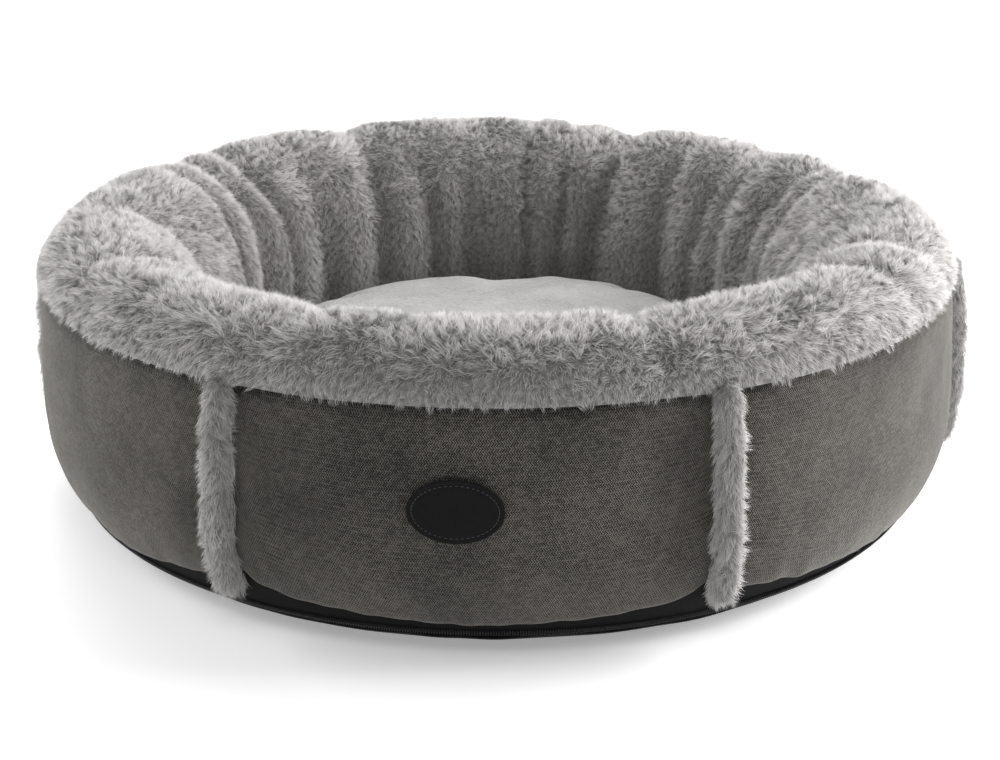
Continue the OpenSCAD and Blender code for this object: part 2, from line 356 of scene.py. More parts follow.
def soft_noise(point, size, seed=0.0):
    """Smooth noise from -1 to 1 with lumps of about a given size."""
    return noise.noise(Vector(point) / size + Vector((seed, seed * 1.7, seed * 0.3)))


def smooth_step(value, low, high):
    share = min(max((value - low) / (high - low), 0), 1)
    return share * share * (3 - 2 * share)


def gather(turn, s):
    """How deep the lining dips into its folds."""
    down = (s - s_crest) / (s_end - s_crest)
    deep = 0.0
    for (place, depth, width), start in zip(folds, fold_starts):
        wander = math.radians(2.2) * soft_noise((place * 7, s * 9, 0), 1.0, 3)
        off = math.remainder(turn - place - wander, math.tau) / width
        if abs(off) < 3:
            open_up = 1 + 0.6 * smooth_step(down, 0.0, -0.3)
            dip = math.exp(-abs(off / open_up) ** 1.5)
            deep += depth * smooth_step(down, start - 0.32, start + 0.42) * dip
    return DEEPEST_FOLD * (1 - math.exp(-deep / DEEPEST_FOLD))


def lining_place(turn, s):
    spot = on_bed(turn, s)
    down = smooth_step(s, s_seam, s_crest)
    lumps = 2.4 * MM * soft_noise(spot, 55 * MM, 2) * down + 1.2 * MM * soft_noise(spot, 22 * MM, 5)
    nest = smooth_step(s, s_crest + 60 * MM, s_end - 80 * MM)
    overhang = OVERHANG * (1 - smooth_step(s, s_seam + 8 * MM, s_crest))
    return on_bed(turn, s, lumps + overhang - PILE + 1 * MM - 1.5 * MM * nest - gather(turn, s))


LINING_ACROSS, LINING_ALONG = 520, 76
lining = cut_cloth("plush_backing", math.tau * seam_r, s_end - s_seam, LINING_ACROSS, LINING_ALONG)
lay(lining, lambda u, v: lining_place(BACK_SEAM + math.tau * u, s_seam + (s_end - s_seam) * v))
edit(lining, lambda: bpy.ops.mesh.remove_doubles(threshold=0.02 * MM))
smooth(lining)

backing_paint, backing_shader, start = material("plush_backing", 0.95)
place = object_coords(start)
mottle = noise_of(start, place, 260, 3)
colour_of(backing_shader, mottle.between(0.3, 0.7).mix((0.15, 0.145, 0.142), (0.27, 0.263, 0.257)))
bump_of(backing_shader, mottle, 1.5 * MM)
dress(lining, backing_paint)
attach(lining, "cover")
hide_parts("plush_lining")


def hair(width, length, lean):
    """One three-sided hair that leans towards +X, its palette place running up from root to tip."""
    bpy.ops.object.select_all(action="DESELECT")
    bpy.ops.mesh.primitive_cone_add(vertices=3, radius1=width / 2, radius2=0, depth=length,
                                    end_fill_type="NOTHING", location=(0, 0, length / 2))
    made = bpy.context.object
    bpy.ops.object.transform_apply(location=True, rotation=True, scale=True)
    shades = made.data.uv_layers.active
    shades.name = "OFBake"
    for corner, loop in zip(shades.data, made.data.loops):
        spot = made.data.vertices[loop.vertex_index].co
        corner.uv = (0.05 * spot.y / width, spot.z / length)
    tip = Vector((lean, 0, 1)).normalized() * length
    for point in made.data.vertices:
        point.co = Vector((point.co.x, point.co.y, 0)) + tip * point.co.z / length
    return made


def tuft(name, hairs, spread, width, length, draw):
    """A lock of hairs that start apart and come together towards their tips."""
    group = []
    for i in range(hairs):
        made = hair(width * draw.uniform(0.8, 1.2), length * draw.uniform(0.75, 1.05),
                    draw.uniform(0.5, 1.25))
        around = math.tau * draw.random()
        foot = Vector((math.cos(around), math.sin(around), 0)) * spread * math.sqrt(draw.random())
        turned = Matrix.Rotation(draw.uniform(-0.5, 0.5), 4, "Z")
        for point in made.data.vertices:
            point.co = turned @ point.co + foot * (1 - 0.4 * point.co.z / length)
        group.append(made)
    bpy.ops.object.select_all(action="DESELECT")
    for made in group:
        made.select_set(True)
    bpy.context.view_layer.objects.active = group[0]
    bpy.ops.object.join()
    group[0].name = name
    return group[0]


def tuft_set(name, hairs, spread, width, length, seed):
    """Four unlike tufts in a collection of their own."""
    draw = random.Random(seed)
    box = bpy.data.collections.new(name)
    bpy.context.scene.collection.children.link(box)
    for i in range(4):
        made = tuft(f"{name}_{i}", hairs, spread, width, length, draw)
        for holder in list(made.users_collection):
            holder.objects.unlink(made)
        box.objects.link(made)
    return box


MOST_TUFTS = 420000.0  # on a square metre


def pile_nodes(tufts, spacing, stray, sizes, seed):
    """Geometry nodes that plant tufts on a skin, combed along its own comb and flow attributes."""
    tree = bpy.data.node_groups.new("pile", "GeometryNodeTree")
    for way in ("INPUT", "OUTPUT"):
        tree.interface.new_socket("Geometry", in_out=way, socket_type="NodeSocketGeometry")

    def node(kind, settings=None, sockets=None, out=0):
        made = tree.nodes.new(kind)
        for name, value in (settings or {}).items():
            setattr(made, name, value)
        for name, value in (sockets or {}).items():
            if isinstance(value, bpy.types.NodeSocket):
                tree.links.new(value, made.inputs[name])
            else:
                made.inputs[name].default_value = value
        return made.outputs[out]

    def attribute(name, kind):
        return node("GeometryNodeInputNamedAttribute", {"data_type": kind}, {"Name": name})

    def draw(kind, low, high, extra):
        slots = {"FLOAT_VECTOR": (0, 1, 0), "FLOAT": (2, 3, 1), "INT": (4, 5, 2)}[kind]
        return node("FunctionNodeRandomValue", {"data_type": kind},
                    {slots[0]: low, slots[1]: high, "Seed": seed + extra}, out=slots[2])

    skin = node("NodeGroupInput")
    points = node("GeometryNodeDistributePointsOnFaces", {"distribute_method": "POISSON"},
                  {"Mesh": skin, "Distance Min": spacing, "Density Max": MOST_TUFTS,
                   "Density Factor": attribute("density", "FLOAT"), "Seed": seed})
    combed = node("ShaderNodeVectorMath", {"operation": "ADD"},
                  {0: attribute("comb", "FLOAT_VECTOR"),
                   1: draw("FLOAT_VECTOR", (-stray,) * 3, (stray,) * 3, 1)})
    upright = node("FunctionNodeAlignRotationToVector", {"axis": "Z"}, {"Vector": combed})
    flowing = node("ShaderNodeVectorMath", {"operation": "ADD"},
                   {0: attribute("flow", "FLOAT_VECTOR"),
                    1: draw("FLOAT_VECTOR", (-0.5,) * 3, (0.5,) * 3, 2)})
    turned = node("FunctionNodeAlignRotationToVector", {"axis": "X", "pivot_axis": "Z"},
                  {"Rotation": upright, "Vector": flowing})
    # The tone carries painted shade and painted light as well as random tone; it sets each tuft's place across
    # the palette.
    tone = node("ShaderNodeMath", {"operation": "ADD"},
                {0: attribute("tone", "FLOAT"), 1: draw("FLOAT", -0.08, 0.08, 3)})
    toned_and_shaded = node("GeometryNodeStoreNamedAttribute", {"data_type": "FLOAT", "domain": "POINT"},
                 {"Geometry": points, "Name": "tone", "Value": tone})
    lit = node("ShaderNodeVectorMath", {"operation": "ADD"},
               {0: points.node.outputs["Normal"], 1: draw("FLOAT_VECTOR", (-0.10,) * 3, (0.10,) * 3, 6)})
    toned_and_shaded = node("GeometryNodeStoreNamedAttribute", {"data_type": "FLOAT_VECTOR", "domain": "POINT"},
                 {"Geometry": toned_and_shaded, "Name": "lit", "Value": lit})
    size = node("ShaderNodeMath", {"operation": "MULTIPLY"},
                {0: attribute("height", "FLOAT"), 1: draw("FLOAT", *sizes, 4)})
    group = node("GeometryNodeCollectionInfo", {},
                 {"Collection": tufts, "Separate Children": True, "Reset Children": True})
    planted = node("GeometryNodeInstanceOnPoints", {},
                   {"Points": toned_and_shaded, "Instance": group, "Pick Instance": True,
                    "Instance Index": draw("INT", 0, 3, 5), "Rotation": turned, "Scale": size})
    real = node("GeometryNodeRealizeInstances", {}, {"Geometry": planted})
    along = node("ShaderNodeSeparateXYZ", {}, {0: attribute("OFBake", "FLOAT_VECTOR")}, out=1)
    across = node("ShaderNodeMath", {"operation": "ADD", "use_clamp": True},
                  {0: attribute("tone", "FLOAT"), 1: along.node.outputs[0]})
    palette = node("ShaderNodeCombineXYZ", {}, {0: across, 1: along})
    done = node("GeometryNodeStoreNamedAttribute", {"data_type": "FLOAT2", "domain": "CORNER"},
                {"Geometry": real, "Name": "OFBake", "Value": palette})
    tree.links.new(done, tree.nodes.new("NodeGroupOutput").inputs[0])
    return tree


def comb(skin, down, swirl, seed, thin=lambda spot: 1.0, tall=lambda spot: 1.0, shade=lambda spot: 0.8):
    """Writes which way the pile leans and how long, thick and light it is, on a skin's points; its tone holds
    painted shade and painted light.
    """
    mesh = skin.data
    for name, kind in (("comb", "FLOAT_VECTOR"), ("flow", "FLOAT_VECTOR"), ("tone", "FLOAT"),
                       ("density", "FLOAT"), ("height", "FLOAT")):
        mesh.attributes.new(name, kind, "POINT")
    leans, flows, tones_and_shades, thicks, heights = (
        mesh.attributes[name] for name in ("comb", "flow", "tone", "density", "height"))
    for i, point in enumerate(mesh.vertices):
        spot, out = point.co, point.normal
        wide = noise.noise_vector(spot / (42 * MM) + Vector((seed, 0, 0)))
        fine = noise.noise_vector(spot / (13 * MM) + Vector((0, seed, 0)))
        fall = Vector((0, 0, -1)) - out * -out.z
        sway = wide * swirl + fine * swirl * 0.8
        sway -= out * out.dot(sway)
        leans.data[i].vector = out + fall * down + sway
        flows.data[i].vector = fall * (down + 0.3) + sway * 1.5
        patch = 0.16 * soft_noise(spot, 30 * MM, seed + 4) + 0.09 * soft_noise(spot, 9 * MM, seed + 8)
        # The tone: random patches, the painted shade given by shade, and painted light where the pile sways
        # upward, lighter as if lit from above.
        tones_and_shades.data[i].value = shade(spot) + patch + 0.25 * sway.z
        thicks.data[i].value = thin(spot)
        heights.data[i].value = tall(spot) * (1 + 0.22 * soft_noise(spot, 16 * MM, seed + 2))


def grow(skin, name, tufts, spacing, stray, sizes, seed, keep):
    """The pile on the part of a skin whose faces a test keeps, as a piece of its own."""
    pile = skin.copy()
    pile.data = skin.data.copy()
    pile.name = pile.data.name = name
    bpy.context.scene.collection.objects.link(pile)
    for tag in list(pile.keys()):
        del pile[tag]
    edit(pile, lambda: bpy.ops.mesh.select_all(action="DESELECT"))
    for face in pile.data.polygons:
        face.select = not keep(face.center)
    edit_faces(pile)
    planted = pile.modifiers.new("pile", "NODES")
    planted.node_group = pile_nodes(tufts, spacing, stray, sizes, seed)
    only(pile)
    bpy.ops.object.modifier_apply(modifier=planted.name)
    smooth(pile)
    pile.data.normals_split_custom_set_from_vertices(
        [tuple(one.vector.normalized()) for one in pile.data.attributes["lit"].data])
    dress(pile, pile_paint)
    return pile


def edit_faces(piece):
    """Deletes a piece's selected faces."""
    only(piece)
    bpy.ops.object.mode_set(mode="EDIT")
    bpy.ops.mesh.select_mode(type="FACE")
    bpy.ops.mesh.delete(type="FACE")
    bpy.ops.mesh.select_mode(type="VERT")
    bpy.ops.object.mode_set(mode="OBJECT")


pile_paint, pile_shader, start = material("plush_pile", 0.8, Sheen_Weight=0.15, Sheen_Roughness=0.5,
                                      Specular_IOR_Level=0.15)
palette = start.node("UVMap", {"uv_map": "OFBake"})
across = start.node("SeparateXYZ", {}, {0: palette}, out=0)
along = start.node("SeparateXYZ", {}, {0: palette}, out=1)
# Darker at the root and lighter at the tip: partly the pile's own colour, partly painted shade down among the
# hairs.
root_to_tip = along.node("ValToRGB", {"stops": (
    (0.0, (0.22, 0.213, 0.210)), (0.3, (0.42, 0.407, 0.398)), (0.75, (0.66, 0.644, 0.632)),
    (1.0, (0.81, 0.796, 0.784)))}, {0: along})
# Lightness from the tone, which holds painted shade and painted light as well as random tone.
toned_and_shaded = across.node("ValToRGB", {"stops": (
    (0.0, (0.54, 0.53, 0.53)), (0.5, (0.88, 0.88, 0.88)), (1.0, (1.0, 1.0, 1.0)))}, {0: across})
mixed = start.node("Mix", {"data_type": "RGBA", "blend_type": "MULTIPLY"},
                   {0: 1.0, 6: root_to_tip, 7: toned_and_shaded}, out=2)
colour_of(pile_shader, mixed)

HAIRS_IN_TUFT, TUFT_SPREAD = 10, 2.3 * MM
HAIR_W, HAIR_LONG = 0.42 * MM, 7.2 * MM
long_tufts = tuft_set("long_tufts", HAIRS_IN_TUFT, TUFT_SPREAD, HAIR_W, HAIR_LONG, seed=21)


def lining_thick(spot):
    """How thick the pile grows: none in the seams, and worn thin behind the cushion."""
    if spot.xy.length > crest_r:
        return smooth_step(spot.z, seam_z - 0.5 * MM, seam_z + 4 * MM)
    if spot.xy.length < nest_r + 40 * MM and spot.z < 75 * MM:
        return 0.4 * smooth_step(spot.z, 9 * MM, 18 * MM)
    return 1.0


def lining_tall(spot):
    """How long the pile grows: shorter by the wall and down in the nest."""
    if spot.xy.length > crest_r:
        return 0.78 + 0.22 * smooth_step(spot.z, seam_z, seam_z + 20 * MM)
    return 0.78 + 0.22 * smooth_step(spot.z, 90 * MM, 170 * MM)


def lining_painted_shade(spot):
    """How light the pile is: painted shade, darker down in the nest, where less light reaches its inner wall.
    """
    return 0.30 + 0.50 * smooth_step(spot.xy.length, nest_r + 30 * MM, crest_r)


comb(lining, down=0.22, swirl=0.30, seed=1.0, thin=lining_thick, tall=lining_tall, shade=lining_painted_shade)

TUFT_GAP = 2.15 * MM
SIDES = ("front", "front_right", "right", "back_right", "back", "back_left", "left", "front_left")
for i, side in enumerate(SIDES):
    middle = math.tau * i / len(SIDES)
    pile = grow(
        lining, f"plush_pile_{side}", long_tufts, TUFT_GAP, stray=0.24, sizes=(0.85, 1.15), seed=100 + 10 * i,
        keep=lambda spot: abs(math.remainder(math.atan2(spot.x, -spot.y) - middle, math.tau))
        < math.pi / len(SIDES))
    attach(pile, "cover")
s_end - s_seam


# Wall panels. Six flat cuts of herringbone upholstery cloth on a thin backing, sewn side to side
# and wrapped round the bolster. Each one's lower edge is an arc that rises towards the straps.
FRONT_PANEL = math.radians(55)
SIDE_PANEL = (math.tau - FRONT_PANEL) / 5
EDGE_Z, EDGE_RISE, EDGE_WAVE = 24 * MM, 14 * MM, 1.6 * MM
UNDER_PLUSH = 3 * MM
CLOTH = 1.8 * MM
PANELS = ("front", "front_right", "back_right", "back", "back_left", "front_left")

wall_paint, wall_shader, start = material(
    "wall_cloth", 0.85, Sheen_Weight=0.42, Sheen_Roughness=0.35, Sheen_Tint=(0.80, 0.78, 0.74, 1),
    Specular_IOR_Level=0.2)
flat = start.node("UVMap", {"uv_map": "cloth"})
thread_u = start.node("SeparateXYZ", {}, {0: flat}, out=0) * 1000
thread_v = start.node("SeparateXYZ", {}, {0: flat}, out=1) * 1000
ROW, DASH = 1.6, 1.55
row_count = thread_v * (1 / ROW)
row_share = row_count.math("FRACT", row_count)
row_number = row_count.math("FLOOR", row_count)
slant = row_number.math("PINGPONG", row_number, 1.0) * 2 - 1
dash_count = thread_u * (1 / DASH) + slant * row_share
dash = (start.math("SINE", dash_count * math.tau) * 0.5 + 0.5).between(0.25, 0.75)
rib = start.math("SINE", row_share * math.pi).between(0.0, 0.6)
weave = dash * (rib * 0.5 + 0.5)
yarn = noise_of(start, start.node("CombineXYZ", {}, {0: thread_u * 0.09, 1: thread_v * 0.8}), 1.0, 3, 0.65)
fleck = noise_of(start, start.node("CombineXYZ", {}, {0: dash_count.math("FLOOR", dash_count) * 5.3,
                                                      1: row_number * 7.1}), 1.0, 1, 0.5)
# Soft patches of brushed, crushed pile: partly real wear, partly painted sheen, lighter and darker.
wear_and_sheen_patches = noise_of(start, object_coords(start), 18, 3, 0.6)
light = weave * 1.05 + yarn.between(0.35, 0.65) * 0.22 + fleck.between(0.42, 0.58) * 0.40
light = light * (wear_and_sheen_patches.between(0.25, 0.75) * 0.4 + 0.78)
colour_of(wall_shader, light.between(0.2, 1.8).mix((0.0012, 0.0011, 0.0009), (0.172, 0.161, 0.141)))
bump_of(wall_shader, weave * 0.7 + yarn * 0.3, 0.5 * MM, 0.9)


def wall_panel(name, start_turn, angle):
    bed_edge = {}

    def place(u, v):
        middle = 2 * u - 1
        if u not in bed_edge:
            wave = EDGE_WAVE * soft_noise((u * angle * bed_r, start_turn, 0), 26 * MM, 10)
            bed_edge[u] = reach_at(EDGE_Z + EDGE_RISE * middle * middle + wave)
        s0 = bed_edge[u]
        s = s0 + (s_seam + UNDER_PLUSH - s0) * v
        turn = start_turn + angle * u
        spot = on_bed(turn, s)
        from_seam = angle * bed_r * (1 - abs(middle)) / 2
        from_edge = (s_seam + UNDER_PLUSH - s0) * v
        valley = 4.5 * MM * math.exp(-(from_seam / (12 * MM)) ** 2)
        puff = -3.2 * MM + 2.4 * MM * smooth_step(from_seam, 0, 45 * MM) - valley
        lumps = 1.5 * MM * soft_noise(spot, 70 * MM, 6) + 0.5 * MM * soft_noise(spot, 24 * MM, 7)
        puckers = 1.3 * MM * soft_noise((turn * bed_r, s * 0.35, 0), 13 * MM, 8)
        puckers *= math.exp(-from_edge / (16 * MM))
        pulls = 0.9 * MM * soft_noise((turn * bed_r * 0.4, s, 0), 11 * MM, 9)
        pulls *= math.exp(-from_seam / (22 * MM))
        hem = -2.0 * MM * (1 - smooth_step(from_edge, 0, 5 * MM))
        tuck = -5.0 * MM * smooth_step(from_edge, s_seam - s0 - 9 * MM, s_seam - s0 + UNDER_PLUSH)
        return on_bed(turn, s, puff + lumps + puckers + pulls + hem + tuck)

    panel_w, panel_l = angle * bed_r, s_seam - reach_at(EDGE_Z)
    panel = cut_cloth(name.replace("panel", "cloth"), panel_w, panel_l, round(math.degrees(angle) * 2), 42)
    lay(panel, place)
    keep_modifier(panel, "SOLIDIFY", thickness=CLOTH, offset=-1)
    smooth(panel)
    dress(panel, wall_paint)
    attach(panel, "cover")
    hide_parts(name)


seam_turns = []
turn = -FRONT_PANEL / 2
for i, side_name in enumerate(PANELS):
    angle = SIDE_PANEL if i else FRONT_PANEL
    wall_panel(f"wall_panel_{side_name}", turn, angle)
    turn += angle
    seam_turns.append(turn)


# Plush straps. Narrow bands of the same plush, folded over and sewn down on the upright seams,
# from under the lining to just above the zip, with their pile standing out all round.
STRAP_W, STRAP_HIGH = 12.5 * MM, 13 * MM
STRAP_TUFT_GAP = 2.0 * MM
STRAPS = ("front_right", "right", "back_right", "back_left", "left", "front_left")
s_strap = reach_at(EDGE_Z + 8 * MM)


def strap_place(middle_turn, seed):
    def place(u, v):
        s = s_strap + (s_seam + 6 * MM - s_strap) * v
        across = 2 * u - 1
        end = (0.35 + 0.65 * smooth_step(v, -0.02, 0.10)) * (1 - 0.6 * smooth_step(v, 0.955, 1.0))
        wander = 3.0 * MM * soft_noise((s, seed, 0), 60 * MM, seed)
        high = STRAP_HIGH * max(1 - across ** 4, 0) ** 0.6 * end
        high *= 1 + 0.18 * soft_noise((s, 0, 0), 26 * MM, seed + 5)
        width = STRAP_W * max(end, 0.5) * (1 + 0.25 * soft_noise((s, 0, 0), 20 * MM, seed + 3))
        return on_bed(middle_turn + (across * width / 2 + wander) / bed_r, s, high - 2.5 * MM)
    return place


for i, (side_name, middle_turn) in enumerate(zip(STRAPS, seam_turns)):
    strap = cut_cloth(f"plush_strap_backing_{side_name}", STRAP_W * 1.4, s_seam - s_strap, 16, 84)
    lay(strap, strap_place(middle_turn, 40 + i))
    smooth(strap)
    dress(strap, backing_paint)
    comb(strap, down=0.45, swirl=0.45, seed=60.0 + i,
         tall=lambda spot: 1 - 0.25 * smooth_step(spot.z, seam_z - 6 * MM, seam_z))
    pile = grow(strap, f"plush_strap_pile_{side_name}", long_tufts, STRAP_TUFT_GAP, stray=0.38,
                sizes=(0.9, 1.2), seed=300 + 10 * i, keep=lambda spot: True)
    for piece in (strap, pile):
        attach(piece, "cover")
    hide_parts(f"plush_strap_{side_name}")

for made in list(long_tufts.objects):
    bpy.data.objects.remove(made)


# Base. A round of black coated cloth with rubber grip dots on its underside, eased up round the
# foot to the zip, where its edge is turned in and sewn to the lower tape.
BASE_EDGE_Z = 10.6 * MM
BASE_CLOTH = 1.6 * MM
MIDDLE_SHARE = 0.06
base_paint, base_shader, start = material("base_cloth", 0.7, Specular_IOR_Level=0.12)
place = object_coords(start)
DOT_GAP = 5 * MM
dots = start.node("TexVoronoi", {"feature": "F1"}, {"Vector": place, "Scale": 1 / DOT_GAP, "Randomness": 0.12})
dot = 1 - dots.between(0.17, 0.24)
fine = noise_of(start, place, 900, 2)
colour_of(base_shader, dot.mix((0.0035, 0.0035, 0.0038), (0.013, 0.013, 0.0135)))
bump_of(base_shader, dot * 0.8 + fine * 0.25, 0.4 * MM)

bpy.ops.object.select_all(action="DESELECT")
bpy.ops.mesh.primitive_circle_add(vertices=360, radius=foot_r * MIDDLE_SHARE, fill_type="TRIFAN")
base = bpy.context.object
base.name = "base_cloth"
edit(base, lambda: bpy.ops.mesh.select_all(action="DESELECT"))
for point in base.data.vertices:
    point.select = point.co.length > foot_r * 0.05
for edge in base.data.edges:
    edge.select = all(base.data.vertices[i].select for i in edge.vertices)
bpy.ops.object.mode_set(mode="EDIT")
bpy.ops.mesh.select_mode(type="EDGE")
rings = [(foot_r * share, 0.0) for share in (0.2, 0.4, 0.6, 0.8, 0.92, 0.97, 1.0)]
s_base = reach_at(BASE_EDGE_Z)
rings += [tuple(on_section(s_base * i / 12)[0]) for i in range(1, 13)]
last_r, last_z = foot_r * MIDDLE_SHARE, 0.0
for r, z in rings:
    bpy.ops.mesh.extrude_region_move(TRANSFORM_OT_translate={"value": (0, 0, z - last_z)})
    bpy.ops.transform.resize(value=(r / last_r, r / last_r, 1), center_override=(0, 0, z))
    last_r, last_z = r, z
bpy.ops.mesh.select_mode(type="VERT")
bpy.ops.object.mode_set(mode="OBJECT")
for point in base.data.vertices:
    turn = math.atan2(point.co.x, -point.co.y)
    up = smooth_step(point.co.z, 0, BASE_EDGE_Z)
    wave = soft_noise((math.cos(turn) * bed_r, math.sin(turn) * bed_r, 0), 30 * MM, 12)
    point.co.z += (2.6 * wave + 0.8) * MM * up
    point.co.xy *= 1 + (2.4 * wave - 0.4) * MM * up / bed_r
edit(base, lambda: bpy.ops.mesh.normals_make_consistent(inside=False))
keep_modifier(base, "SOLIDIFY", thickness=BASE_CLOTH, offset=1 if base.data.polygons[0].normal.z > 0 else -1)
low = min(point.co.z for point in base.data.vertices)
for point in base.data.vertices:
    point.co.z -= low
smooth(base)
dress(base, base_paint)
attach(base, "cover")
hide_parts("base_panel")
base_flat = 2 * (foot_r + s_base)
math.pi * base_flat ** 2 / 4


# Zip. Two woven tapes with a nylon coil along each one's edge, run round the foot between the base
# and the wall, with a slider parked at the back by an end stop.
COIL_Z, COIL_PITCH = 18 * MM, 1.6 * MM
TAPE = 0.8 * MM
COIL_GAP = math.radians(10)
s_coil = reach_at(COIL_Z)
coil_point = on_section(s_coil)[0]

tape_paint, tape_shader, start = material("zip_tape", 0.8, Specular_IOR_Level=0.12)
flat = start.node("UVMap", {"uv_map": "cloth"})
tape_u = start.node("SeparateXYZ", {}, {0: flat}, out=0) * 1000
tape_v = start.node("SeparateXYZ", {}, {0: flat}, out=1) * 1000
RIB_U, RIB_V = 0.8, 0.9
tape_rib = start.math("SINE", tape_u * (math.tau / RIB_U)) * start.math("SINE", tape_v * (math.tau / RIB_V))
tape_rib = tape_rib * 0.5 + 0.5
colour_of(tape_shader, tape_rib.mix((0.0030, 0.0030, 0.0033), (0.010, 0.010, 0.0105)))
bump_of(tape_shader, tape_rib, 0.2 * MM)


def on_tape(u, s):
    """A place on a tape, which sinks further under the cloth away from the coils."""
    return on_bed(math.tau * u, s, -3.4 * MM * abs(s - s_coil) / (20 * MM) - 2.0 * MM)


for name, low_s, high_s in (("zip_tape_upper", s_coil + 0.1 * MM, reach_at(42 * MM)),
                            ("zip_tape_lower", reach_at(5 * MM), s_coil - 0.1 * MM)):
    tape = cut_cloth(f"{name}_cloth", math.tau * coil_point.x, high_s - low_s, 360, 8)
    lay(tape, lambda u, v: on_tape(u, low_s + (high_s - low_s) * v))
    edit(tape, lambda: bpy.ops.mesh.remove_doubles(threshold=0.02 * MM))
    keep_modifier(tape, "SOLIDIFY", thickness=TAPE, offset=-1)
    smooth(tape)
    dress(tape, tape_paint)
    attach(tape, "cover")
    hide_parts(name)
    high_s - low_s

coil_paint, coil_shader, start = material("zip_coil", 0.38)
place = object_coords(start)
coil_shade = noise_of(start, place, 300, 2)
colour_of(coil_shader, coil_shade.mix((0.008, 0.008, 0.009), (0.028, 0.028, 0.030)))
coil_count = round((math.tau - COIL_GAP) * coil_point.x / COIL_PITCH)
LOOP_R, LOOP_WIRE, LOOP_STRETCH = 0.85 * MM, 0.34 * MM, 1.35
for name, side_way in (("zip_coil_upper", 1), ("zip_coil_lower", -1)):
    bpy.ops.object.select_all(action="DESELECT")
    bpy.ops.mesh.primitive_torus_add(major_radius=LOOP_R, minor_radius=LOOP_WIRE, major_segments=7,
                                     minor_segments=3, rotation=(0, math.pi / 2, 0))
    coil = bpy.context.object
    coil.name = f"{name}_teeth"
    bpy.ops.object.transform_apply(location=True, rotation=True, scale=True)
    for point in coil.data.vertices:
        point.co.y *= LOOP_STRETCH
        point.co.x += 0.35 * point.co.y * side_way
    keep_modifier(coil, "ARRAY", count=coil_count, use_relative_offset=False, use_constant_offset=True,
                  constant_offset_displace=(COIL_PITCH, 0, 0))
    for point in coil.data.vertices:
        turn = math.pi + COIL_GAP / 2 - (point.co.x + COIL_PITCH / 2) / coil_point.x - COIL_GAP
        point.co = on_bed(turn, s_coil + point.co.y + side_way * 1.35 * MM, point.co.z - LOOP_R)
    edit(coil, lambda: bpy.ops.mesh.normals_make_consistent(inside=False))
    smooth(coil)
    dress(coil, coil_paint)
    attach(coil, "cover")
    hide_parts(name)

metal_paint, metal_shader, start = material("zip_metal", 0.35, Metallic=0.9)
place = object_coords(start)
scuffs = noise_of(start, place, 1400, 3)
colour_of(metal_shader, scuffs.mix((0.20, 0.20, 0.205), (0.42, 0.42, 0.43)))
enamel_paint, enamel_shader, start = material("zip_enamel", 0.3, Metallic=0.6)
place = object_coords(start)
scuffs = noise_of(start, place, 900, 3)
colour_of(enamel_shader, scuffs.between(0.45, 0.75).mix((0.014, 0.014, 0.016), (0.045, 0.045, 0.048)))

for name, body, finish, slot_name in (("zip_stops", "cover", metal_paint, "zip_metal"),
                                      ("zip_slider", "slider", enamel_paint, "zip_slider"),
                                      ("zip_pull", "pull", enamel_paint, "zip_slider")):
    cast = frame["nodes"][name].copy()
    cast.data = cast.data.copy()
    cast.name = cast.data.name = f"{name}_cast"
    bpy.context.scene.collection.objects.link(cast)
    for tag in list(cast.keys()):
        del cast[tag]
    cast.hide_render = False
    edit(cast, lambda: bpy.ops.mesh.remove_doubles(threshold=0.01 * MM),
         lambda: bpy.ops.mesh.dissolve_limited(angle_limit=math.radians(3)))
    keep_modifier(cast, "BEVEL", width=0.3 * MM, segments=3, limit_method="ANGLE", angle_limit=math.radians(40))
    dress(cast, finish)
    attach(cast, body)
    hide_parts(name)


# Label. An oval of thin black leather with a rounded edge, sewn on the front panel with one line of
# thread that sinks a little into it. It carries no marking.
LABEL_TURN = math.radians(-1.2)
label_low, label_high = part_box("label_patch")
label_w, label_h = label_high.x - label_low.x, label_high.z - label_low.z
s_label = reach_at((label_low.z + label_high.z) / 2)
STITCH_INSET, STITCH_PITCH = 3.2 * MM, 2.6 * MM
STITCH_LONG, STITCH_WIDE, STITCH_HIGH = 0.95 * MM, 0.27 * MM, 0.24 * MM
LEATHER = 1.5 * MM


def on_label(x, y, raised):
    return on_bed(LABEL_TURN + x / bed_r, s_label + y, raised + 1.4 * MM)


leather_paint, leather_shader, start = material("label_leather", 0.6, Specular_IOR_Level=0.08)
place = object_coords(start)
grain = start.node("TexVoronoi", {"feature": "DISTANCE_TO_EDGE"}, {"Vector": place, "Scale": 1100})
grain = grain.between(0.0, 0.16)
cloudy = noise_of(start, place, 120, 3)
colour_of(leather_shader, (grain * 0.6 + cloudy * 0.5).mix((0.0035, 0.0035, 0.004), (0.0095, 0.0095, 0.0105)))
bump_of(leather_shader, grain, 0.12 * MM, 0.7)

bpy.ops.object.select_all(action="DESELECT")
bpy.ops.mesh.primitive_circle_add(vertices=96, radius=0.5, fill_type="NGON")
label = bpy.context.object
label.name = "label_oval"
edit(label, lambda: bpy.ops.mesh.inset(thickness=0.012),
     lambda: bpy.ops.mesh.inset(thickness=0.042),
     lambda: bpy.ops.mesh.inset(thickness=0.016, depth=-0.25 * MM),
     lambda: bpy.ops.mesh.inset(thickness=0.016, depth=0.25 * MM),
     *[lambda: bpy.ops.mesh.inset(thickness=0.05)] * 7,
     lambda: bpy.ops.mesh.poke(),
     lambda: bpy.ops.mesh.select_all(action="SELECT"),
     lambda: bpy.ops.transform.resize(value=(label_w, label_h, 1)))
if label.data.polygons[0].normal.z < 0:
    edit(label, lambda: bpy.ops.mesh.flip_normals())
keep_modifier(label, "SOLIDIFY", thickness=LEATHER, offset=-1)
